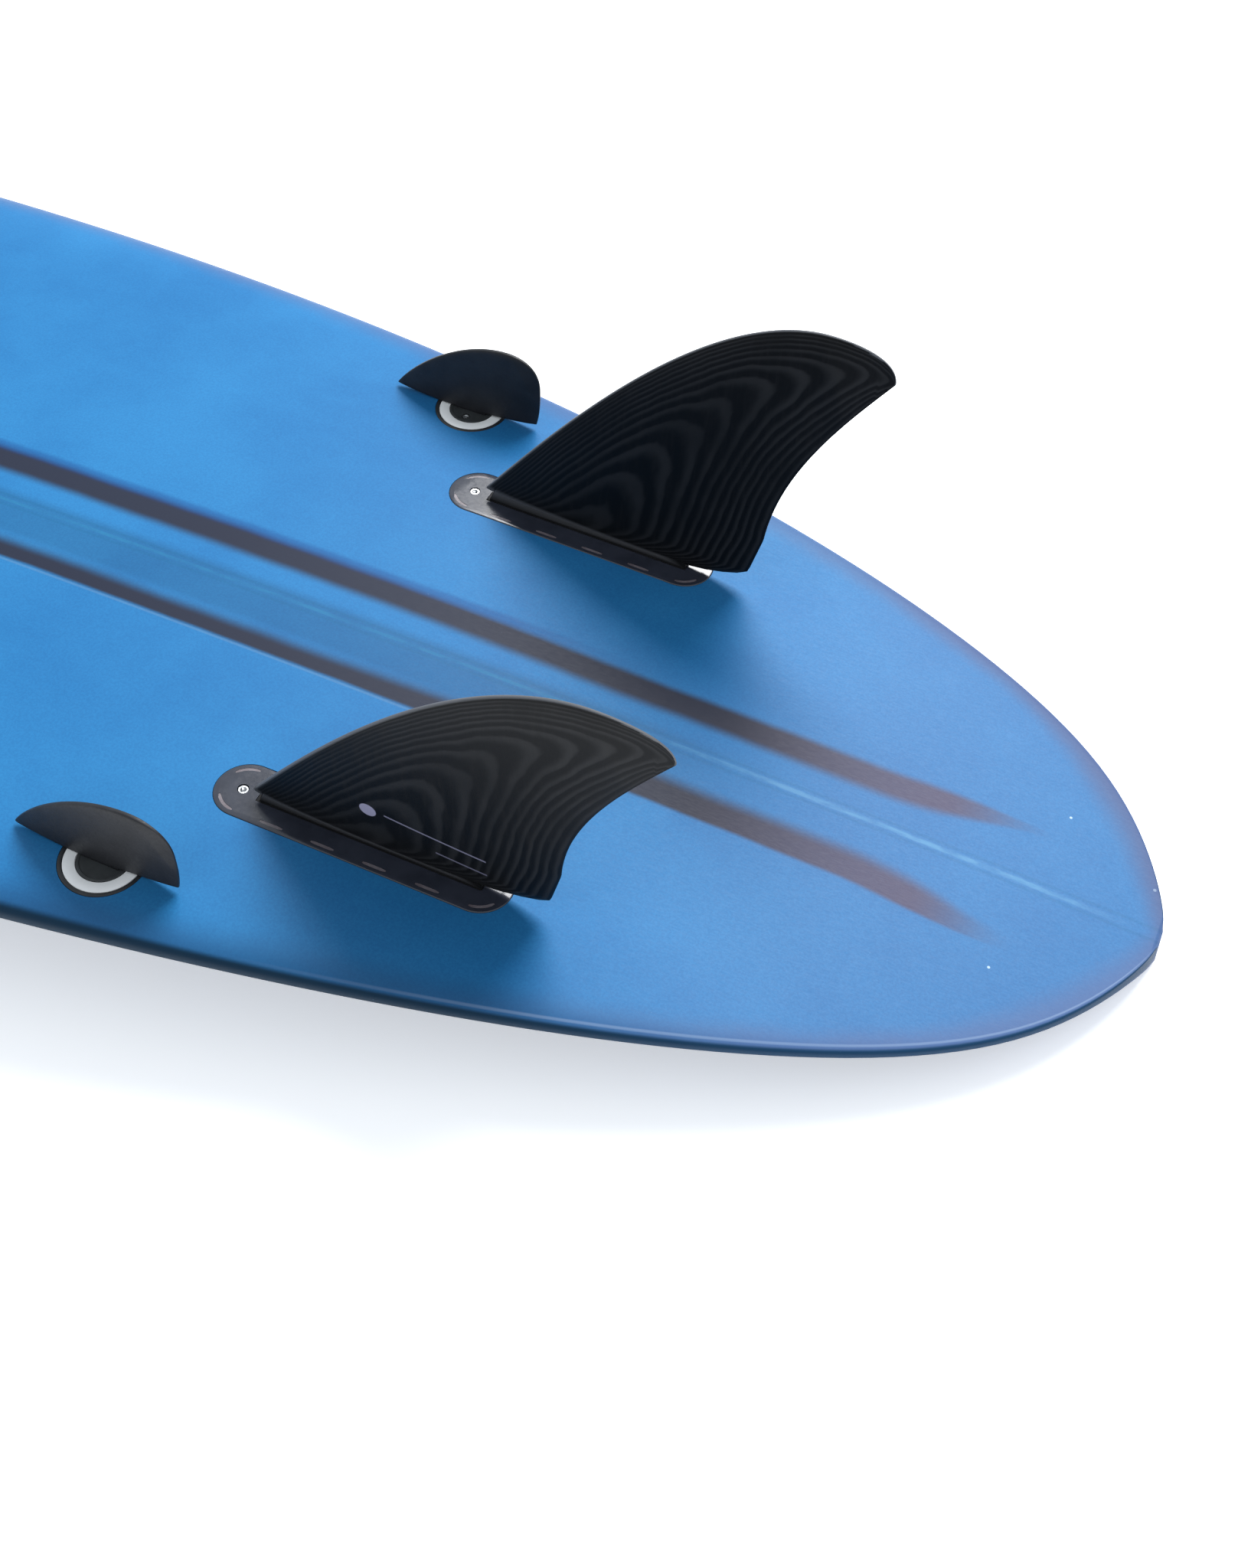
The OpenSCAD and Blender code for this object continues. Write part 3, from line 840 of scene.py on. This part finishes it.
def slot_middles():
    """Where the resin slots lie along the racetrack."""
    straight = box_l - box_w
    whole = 2 * straight + 2 * math.pi * (box_w / 2 - resin_inset)
    step = whole / resin_count
    return [straight / 2 + step * (k + 0.5) for k in range(resin_count)]


def rounded_top(ring, top, radius, steps=4):
    """Rings that round an edge over; ring(z, inset) makes one level ring."""
    rings = []
    for k in range(steps + 1):
        a = math.pi / 2 * k / steps
        rings.append(ring(top - radius + radius * math.sin(a), radius * (1 - math.cos(a))))
    return rings


def make_fin_box(word, side, plastic, resin):
    body_l, body_w = box_l - 2 * flange_lip, box_w - 2 * flange_lip
    rings = [stadium(body_l, body_w, -box_depth, 0.8), stadium(body_l, body_w, -box_depth + 0.8)]
    rings += [stadium(body_l, body_w, -flange_t), stadium(box_l, box_w, -flange_t)]
    rings += rounded_top(lambda z, inset: stadium(box_l, box_w, z, inset), 0, 0.7)
    box = raw_object("fin_box_body_" + word, *stack(rings))

    gap_w = tab_t + 2 * slide_gap
    tab_slot = [round_box(tab_front - slide_gap, tab_back + slide_gap, gap_w, z, 0.5)
                for z in (-tab_depth - 0.5, 8)]
    bore = [circle(box_screw_r + 0.05, z, 36, (box_screw_x, 0))
            for z in (-box_screw_l - 1, 3)]
    cant = Matrix.Rotation(math.radians(-side * box_cant), 4, "X")
    tools = [pocket("tab_slot", tab_slot, cant), pocket("screw_bore", bore, Matrix())]
    for middle in slot_middles():
        recess = [track_slot(middle, resin_length, resin_half, z) for z in (-resin_depth, 1)]
        tools.append(pocket("resin_slot", recess, Matrix()))
    combine(box, tools)
    finish_piece(box, plastic, "board", at_box(side), ["fin_box_" + word])

    points, faces = [], []
    for middle in slot_middles():
        filled = stack([track_slot(middle, resin_length - 0.1, resin_half - 0.05, z)
                        for z in (-resin_depth, -0.14)])
        faces += [[k + len(points) for k in f] for f in filled[1]]
        points += filled[0]
    beads = raw_object("fin_box_resin_" + word, points, faces)
    finish_piece(beads, resin, "board", at_box(side))


# ---------------------------------------------------------------- fins


def bezier(controls, t):
    shares = ((1 - t) ** 3, 3 * t * (1 - t) ** 2, 3 * t * t * (1 - t), t ** 3)
    return [sum(w * p[k] for w, p in zip(shares, controls)) for k in (0, 1)]


# Bezier controls of the fins' outlines, as x toward the tail and z up from the board
main_front = ((-50.4, 5.4), (-12, 56), (52, 141.5), (106, 143))
main_tip = ((106, 143), (124, 143.4), (136, 139), (136.5, 130))
main_rear = ((92, 30), (94.4, 70), (118.4, 104), (136.5, 130))
main_heel = ((60, 1.5), (70, 2.5), (85, 6.5), (87.2, 10))
side_toe = ((-20, 0), (-30, 0.2), (-38, 0.8), (-43, 2))
side_front = ((-43, 2), (-31, 19), (-3, 40.6), (21.2, 40.6))
side_tip = ((21.2, 40.6), (32.2, 40.6), (39.2, 35), (39.2, 24))
side_heel = ((12, 0), (20, 0.2), (30, 0.8), (37, 2.6))
side_rear = ((37, 2.6), (38.4, 8), (39.2, 14), (39.2, 24))


def main_edges(u):
    """Front and rear edge of a main fin at rib u, from the base (0) to the tip (1)."""
    heel_to, rear_from, tip_from, tip_end = 0.06, 0.18, 0.75, 0.96
    if u < tip_from:
        front = bezier(main_front, u / tip_from)
    else:
        front = bezier(main_tip, (u - tip_from) / (1 - tip_from) * tip_end)
    if u < heel_to:
        rear = bezier(main_heel, u / heel_to)
    elif u < rear_from:
        t = (u - heel_to) / (rear_from - heel_to)
        rear = [a * (1 - t) + b * t for a, b in zip(main_heel[3], main_rear[0])]
    else:
        rear = bezier(main_rear, (u - rear_from) / (1 - rear_from))
    return front, rear


def side_edges(u):
    """The same for a side fin."""
    base_to, tip_from, tip_end = 0.1, 0.6, 0.95
    if u < base_to:
        return bezier(side_toe, u / base_to), bezier(side_heel, u / base_to)
    rear = bezier(side_rear, (u - base_to) / (1 - base_to))
    if u < tip_from:
        return bezier(side_front, (u - base_to) / (tip_from - base_to)), rear
    return bezier(side_tip, (u - tip_from) / (1 - tip_from) * tip_end), rear


def foil(c, power):
    """Share of the full thickness at share c of the chord."""
    return math.sin(math.pi * c ** 0.7) ** power if 0 < c < 1 else 0.0


def blade(edges, thick, thinning, powers, ribs, chord=30):
    """Rings of a foiled blade, which thins and sharpens to its tip.

    Its lower edge is rounded over the first rings.
    """
    shares = [(1 - math.cos(math.pi * k / chord)) / 2 for k in range(chord + 1)]
    levels = [(0.0, 0.0, 0.72), (0.0, 0.10, 0.88)] + [(k / ribs, 0.0, 1.0) for k in range(1, ribs + 1)]
    rings = []
    for u, lift, fullness in levels:
        front, rear = edges(u)
        slim = min(1, (rear[0] - front[0]) / slim_span)
        half = edge_half + (thick / 2 * (1 - thinning * u) - edge_half) * slim
        power = powers[0] + (powers[1] - powers[0]) * u
        upper, lower = [], []
        for c in shares:
            px = front[0] + (rear[0] - front[0]) * c
            pz = front[1] + (rear[1] - front[1]) * c + lift
            t = (edge_half + (half - edge_half) * foil(c, power)) * fullness
            upper.append((px, t, pz))
            lower.append((px, -t, pz))
        rings.append(upper + lower[::-1])
    return rings


def on_rib(rib, x):
    """The share of a rib's chord at x, and the rib's height there."""
    front, rear = rib
    c = min(1, max(0, (x - front[0]) / max(rear[0] - front[0], 1e-6)))
    return c, front[1] + (rear[1] - front[1]) * c


def on_blade(spine, x, z):
    """The share of the chord and of the span at a point of a blade."""
    ribs = len(spine) - 1
    for k in range(ribs):
        c, height = on_rib(spine[k], x)
        next_c, next_height = on_rib(spine[k + 1], x)
        if height <= z + 1e-6 and next_height >= z:
            t = (z - height) / max(next_height - height, 1e-6)
            return c * (1 - t) + next_c * t, min(1, max(0, (k + t) / ribs))
    return 0.5, 0 if z < 20 else 1


def note_fin_fields(made, side, edges, ribs):
    """Stores the fields that the fin's glass reads."""
    names = ("layer", "base_highlight", "rim", "outer_face")
    for name in names:
        made.data.attributes.new(name, "FLOAT", "POINT")
    fields = {name: made.data.attributes[name].data for name in names}
    spine = [edges(k / ribs) for k in range(ribs + 1)]
    for index, point in enumerate(made.data.vertices):
        x, y, z = (value / MM for value in point.co)
        c, u = on_blade(spine, x, z)
        low = on_rib(spine[0], x)[1]
        ridge = math.sin(math.pi * c ** 0.75) if 0 < c < 1 else 0.0
        fields["layer"][index].value = ridge * (1 - 0.8 * u ** 1.15)
        fields["rim"][index].value = float((c < 0.004 or u > 0.985) and z > 6)
        fields["base_highlight"][index].value = float(low - 0.1 <= z < low + 0.9 and x < tab_back)
        fields["outer_face"][index].value = float(y * side > 0)


def make_main_fin(word, side, material):
    ribs = 70
    rings = blade(main_edges, fin_t, fin_thinning, (0.4, 0.8), ribs)
    fin = raw_object("main_fin_blade_" + word, *stack(rings))
    tab_rings = [round_box(tab_front, tab_back, tab_t, z, 0.4) for z in (-tab_depth, 0)]
    tab = raw_object("tab", *stack(tab_rings))
    outline = ((tab_front + 1, -1), (tab_back, -1), (tab_back, 3), (tab_front + 4, 7))
    neck_rings = [[(x, y, z) for x, z in outline] for y in (-neck_t / 2, neck_t / 2)]
    neck = raw_object("neck", *stack(neck_rings))
    combine(fin, [tab, neck], "UNION")
    note_fin_fields(fin, side, main_edges, ribs)
    node = "main_fin_" + word
    finish_piece(fin, material, node, at_fin(side), [node])


def make_side_fin(word, side, material):
    rings = blade(side_edges, side_fin_t, side_fin_thinning, (0.5, 0.5), 50)
    rings = [[(x, y, z + under_gap) for x, y, z in ring] for ring in rings]
    fin = raw_object("side_fin_blade_" + word, *stack(rings))
    reach = core_tab_l / 2
    tab_rings = [round_box(-reach, reach, core_tab_t, z, 0.4) for z in (-core_tab_depth, 2)]
    combine(fin, [raw_object("tab", *stack(tab_rings))], "UNION")
    node = "side_fin_" + word
    finish_piece(fin, material, node, at_plug(side), [node])


# ---------------------------------------------------------------- plugs, screws and leash cup


def lathe(profile, looped=False, count=72):
    """A round solid from radius and height pairs."""
    return stack([circle(r, z, count) for r, z in profile], looped)


def make_side_plug(word, side, black, white, grey):
    place = at_plug(side)
    seat_r = plug_r - rim_t
    barrel_r = seat_r - housing_lip
    housing = [(barrel_r, -plug_depth), (barrel_r, -flange_t), (plug_r, -flange_t), (plug_r, -0.5)]
    housing += [(plug_r - 0.15, -0.15), (plug_r - 0.5, 0), (seat_r + 0.3, 0), (seat_r, -0.3)]
    housing += [(seat_r, -ring_t), (core_r, -ring_t), (core_r, -plug_depth + housing_floor)]
    made = raw_object("side_plug_body_" + word, *lathe(housing))
    finish_piece(made, black, "board", place, ["side_plug_housing_" + word])

    outer, inner = seat_r - fit_gap / 2, core_r + fit_gap / 2
    ring = [(inner, -ring_t), (outer, -ring_t), (outer, -0.45), (outer - 0.12, -0.2)]
    ring += [(outer - 0.4, -0.08), (inner + 0.4, -0.08), (inner + 0.12, -0.2), (inner, -0.45)]
    made = raw_object("side_plug_disc_" + word, *lathe(ring, True))
    finish_piece(made, white, "board", place, ["side_plug_ring_" + word])

    top_r = core_r - fit_gap / 2
    core = [(top_r, -plug_depth + housing_floor), (top_r, -0.6), (top_r - 0.15, -0.3)]
    core += [(top_r - 0.5, -0.15), (top_r - 1.4, -0.15), (top_r - 1.6, -0.35), (0.05, -0.35)]
    made = raw_object("side_plug_barrel_" + word, *lathe(core))
    slot_l, slot_t = core_tab_l + 2 * slide_gap, core_tab_t + 2 * slide_gap
    tab_slot = [round_box(-slot_l / 2, slot_l / 2, slot_t, z, 0.4)
                for z in (-core_tab_depth - 0.5, 3)]
    bore = [circle(side_screw_r + 0.05, z, 36, (0, -side * side_screw_y))
            for z in (-side_screw_l - 1, 3)]
    combine(made, [pocket("tab_slot", tab_slot, Matrix()), pocket("screw_bore", bore, Matrix())])
    finish_piece(made, grey, "board", place, ["side_plug_core_" + word])


def screw_rings(radius, length, key):
    """A grub screw from its point up: a helical thread, a chamfered top and a hex socket."""
    count, step, thread_pitch = 36, 0.16, 0.8
    crest = 0.16 * radius    # depth of the thread

    def thread(z, k):
        turn = (z / thread_pitch - k / count) % 1
        depth = crest * abs(2 * turn - 1)
        fade = min(1, max(0, min(z / 0.6, (length - 0.5 - z) / 0.6)))
        return radius - crest * (1 - fade) * 0.5 - depth * fade

    def ring(radius_at, z):
        turns = [2 * math.pi * k / count for k in range(count)]
        return [(radius_at(k) * math.cos(a), radius_at(k) * math.sin(a), z) for k, a in enumerate(turns)]

    def hexagon(k):
        turn = math.radians((k * 360 / count + 30) % 60 - 30)
        return key / 2 / math.cos(turn)

    rings = [ring(lambda k: radius * 0.72, 0)]
    levels = int((length - 0.5) / step)
    for i in range(levels + 1):
        z = 0.3 + (length - 0.8) * i / levels
        rings.append(ring(lambda k, z=z: thread(z, k), z))
    rings.append(ring(lambda k: radius * 0.86, length))
    rings.append(ring(lambda k: hexagon(k) + 0.12, length))
    rings.append(ring(hexagon, length - 0.12))
    rings.append(ring(hexagon, length - key))
    rings.append(ring(lambda k: 0.05, length - key - 0.4))
    return rings


def make_screw(kind, word, place, radius, length, key, steel):
    rings = screw_rings(radius, length, key)
    made = raw_object(kind + "_grub_screw_" + word, *stack(rings))
    node = kind + "_screw_" + word
    finish_piece(made, steel, node, place, [node], crisp=30)


def make_leash_plug(plastic, steel):
    place = at_leash()
    cup_r = leash_r + leash_wall
    lip_r = cup_r + leash_lip
    floor = leash_depth - leash_wall
    profile = [(cup_r - 0.8, leash_depth), (cup_r, leash_depth - 0.8), (cup_r, leash_lip)]
    profile += [(lip_r, leash_lip), (lip_r, 0.6), (lip_r - 0.2, 0.2), (lip_r - 0.6, 0)]
    profile += [(leash_r + 0.8, 0), (leash_r + 0.2, 0.2), (leash_r, 0.8), (leash_r, floor - 1.5)]
    profile += [(leash_r - 0.5, floor - 0.4), (leash_r - 1.6, floor)]
    cup = raw_object("leash_cup_body", *lathe(profile))
    turn = Matrix.Rotation(-math.pi / 2, 4, "X")
    bar_place = shift(0, -leash_r - 1, bar_depth) @ turn
    bar_l = 2 * leash_r + 2
    combine(cup, [pocket("bar_hole", [circle(bar_r, z, 40) for z in (0, bar_l)], bar_place)])
    finish_piece(cup, plastic, "board", place, ["leash_cup"])
    pin_r = bar_r - 0.02
    profile = [(bar_r - 0.3, 0.05), (pin_r, 0.3), (pin_r, bar_l - 0.3), (bar_r - 0.3, bar_l - 0.05)]
    bar = raw_object("leash_bar_pin", *lathe(profile, False, 40))
    finish_piece(bar, steel, "board", place @ bar_place, ["leash_bar"])


# ---------------------------------------------------------------- the stage


def make_stage():
    span = 30.0 / MM
    corners = [(x * span, y * span, 0) for x, y in ((-1, -1), (1, -1), (1, 1), (-1, 1))]
    floor = raw_object("floor", corners, [(0, 1, 2, 3)])
    paper = Finish("pale_floor", Roughness=0.9)
    tone = paper.noise(paper.inside(), 3, 3)
    paper.colour(paper.mix(paper.step(tone, 0.3, 0.7), rgb(0.93, 0.93, 0.93), rgb(0.96, 0.96, 0.96)))
    paper.shader.inputs["Emission Color"].default_value = rgb(1, 1, 1)
    paper.shader.inputs["Emission Strength"].default_value = 0.42
    floor.data.materials.append(paper.material)

    world = bpy.data.worlds.new("studio")
    bpy.context.scene.world = world
    world.use_nodes = True
    sky = world.node_tree.nodes["Background"]
    sky.inputs["Color"].default_value = rgb(0.86, 0.93, 1.0)
    sky.inputs["Strength"].default_value = 0.81


def area_light(name, place, target, width, height, watts):
    lamp = bpy.data.lights.new(name, "AREA")
    lamp.shape = "RECTANGLE"
    lamp.size = width
    lamp.size_y = height
    lamp.energy = watts
    made = bpy.data.objects.new(name, lamp)
    bpy.context.scene.collection.objects.link(made)
    made.location = place
    made.rotation_euler = (Vector(target) - Vector(place)).to_track_quat("-Z", "Y").to_euler()


def make_lights():
    tail = Vector((board_l / 2 * MM, 0, 0))
    place = tail + Vector((-0.15, 1.6, 2.0))
    target = tail - Vector((0.55, 0, 0))
    area_light("softbox", place, target, width=1.8, height=1.2, watts=104)


def make_camera():
    """Three quarters from the tail and above; the angles are in degrees."""
    yaw, down, roll = (math.radians(a) for a in (-29.9, 48.33, -6.28))
    ahead = Vector((math.sin(yaw) * math.cos(down), math.cos(yaw) * math.cos(down), -math.sin(down)))
    level = Vector((math.cos(yaw), -math.sin(yaw), 0))
    rise = level.cross(ahead)
    right = math.cos(roll) * level + math.sin(roll) * rise
    up = math.cos(roll) * rise - math.sin(roll) * level
    lens = bpy.data.cameras.new("camera")
    lens.sensor_width = 36
    lens.lens = 39.7
    lens.shift_x = 0.0144
    lens.clip_start = 0.01
    made = bpy.data.objects.new("camera", lens)
    bpy.context.scene.collection.objects.link(made)
    spot = Vector((board_l / 2 + 11, -458.6, 599.8)) * MM
    made.matrix_world = Matrix.Translation(spot) @ Matrix((right, up, -ahead)).transposed().to_4x4()
    bpy.context.scene.camera = made


# ---------------------------------------------------------------- the build


def make_board():
    make_skins()
    foam, wood = foam_material(), wood_material()
    for node, material in (("foam_blank_left", foam), ("foam_blank_right", foam), ("stringer", wood)):
        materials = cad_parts[node].data.materials
        materials.clear()
        materials.append(material)


def make_fittings():
    plastic = moulded("smoky_box_plastic", (0.020, 0.023, 0.034), (0.030, 0.034, 0.049), 500,
                      (0.15, 0.22), 0.02, IOR=1.6)
    resin = moulded("cured_resin", (0.115, 0.095, 0.105), (0.17, 0.15, 0.165), 900,
                    (0.15, 0.3), 0.05, IOR=1.5)
    black = moulded("plug_black_nylon", (0.010, 0.011, 0.013), (0.020, 0.021, 0.024), 900,
                    (0.35, 0.5), 0.05)
    white = moulded("plug_white_nylon", (0.91, 0.91, 0.90), (0.95, 0.95, 0.94), 900,
                    (0.32, 0.45), 0.04)
    grey = moulded("plug_grey_nylon", (0.021, 0.024, 0.025), (0.033, 0.037, 0.039), 900,
                   (0.4, 0.55), 0.06)
    fin_black = moulded("side_fin_nylon", (0.0125, 0.013, 0.0155), (0.0185, 0.019, 0.022), 700,
                        (0.42, 0.56), 0.08, Specular_IOR_Level=0.3)
    steel = metal("screw_steel", (0.56, 0.57, 0.58), (0.72, 0.73, 0.74), (0.2, 0.35))
    pin_steel = metal("pin_steel", (0.55, 0.55, 0.56), (0.66, 0.66, 0.67), (0.18, 0.3))
    cup = moulded("leash_cup_nylon", (0.016, 0.017, 0.019), (0.028, 0.029, 0.032), 700,
                  (0.35, 0.5), 0.06)
    layered = fin_glass()
    for word, side in SIDES.items():
        make_fin_box(word, side, plastic, resin)
        make_main_fin(word, side, layered)
        make_side_plug(word, side, black, white, grey)
        make_side_fin(word, side, fin_black)
        box_place = at_box(side) @ shift(box_screw_x, 0, -box_screw_l - screw_sink)
        make_screw("box", word, box_place, box_screw_r, box_screw_l, box_key, steel)
        plug_place = at_plug(side) @ shift(0, -side * side_screw_y, -side_screw_l - screw_sink)
        make_screw("side", word, plug_place, side_screw_r, side_screw_l, side_key, steel)
    make_leash_plug(cup, pin_steel)


make_stage()
make_lights()
make_camera()
make_board()
make_fittings()
bpy.context.scene.view_settings.view_transform = "Standard"

bpy.context.view_layer.update()
